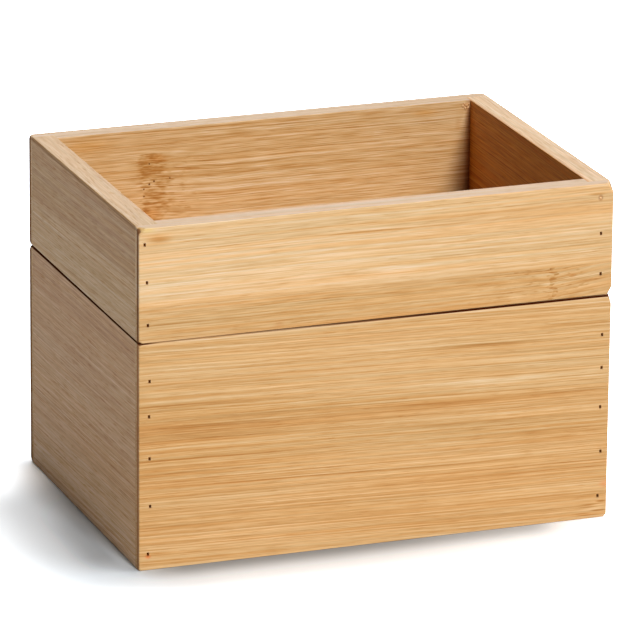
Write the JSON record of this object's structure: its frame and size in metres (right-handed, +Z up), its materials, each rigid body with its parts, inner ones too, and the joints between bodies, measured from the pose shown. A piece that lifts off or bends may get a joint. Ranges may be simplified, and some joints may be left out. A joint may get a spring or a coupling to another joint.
{
  "type": "recipe card box",
  "caption": "Pinned bamboo box for recipe cards: a deep open box with a shallow lift-off tray that stands on its rim and keys into its mouth.",
  "frame": {"origin": "middle of the box's footprint, at the height of the surface it stands on", "axes": "+Z up; +X along the long front from left to right; the front with its pins faces -Y"},
  "size_m": [0.17, 0.12, 0.12],
  "materials": {
    "bamboo_board": "planed and sanded natural bamboo with a thin satin coat",
    "bamboo_floor": "sanded natural bamboo sheet, uncoated",
    "pin_steel": "dull dark steel pins, sunk below the face of the boards"
  },
  "bodies": {
    "base": {"base_front_panel": "bamboo_board", "base_back_panel": "bamboo_board", "base_left_panel": "bamboo_board", "base_right_panel": "bamboo_board", "base_floor_panel": "bamboo_floor", "base_front_left_nails": "pin_steel", "base_front_right_nails": "pin_steel", "base_back_left_nails": "pin_steel", "base_back_right_nails": "pin_steel"},
    "tray": {"tray_front_panel": "bamboo_board", "tray_back_panel": "bamboo_board", "tray_left_panel": "bamboo_board", "tray_right_panel": "bamboo_board", "tray_floor_panel": "bamboo_floor", "tray_front_left_nails": "pin_steel", "tray_front_right_nails": "pin_steel", "tray_back_left_nails": "pin_steel", "tray_back_right_nails": "pin_steel"}
  },
  "joints": [
    {"name": "tray_lift", "type": "slide", "parent": "base", "child": "tray", "axis": [0, 0, 1], "range_m": [0, 0.1]}
  ]
}
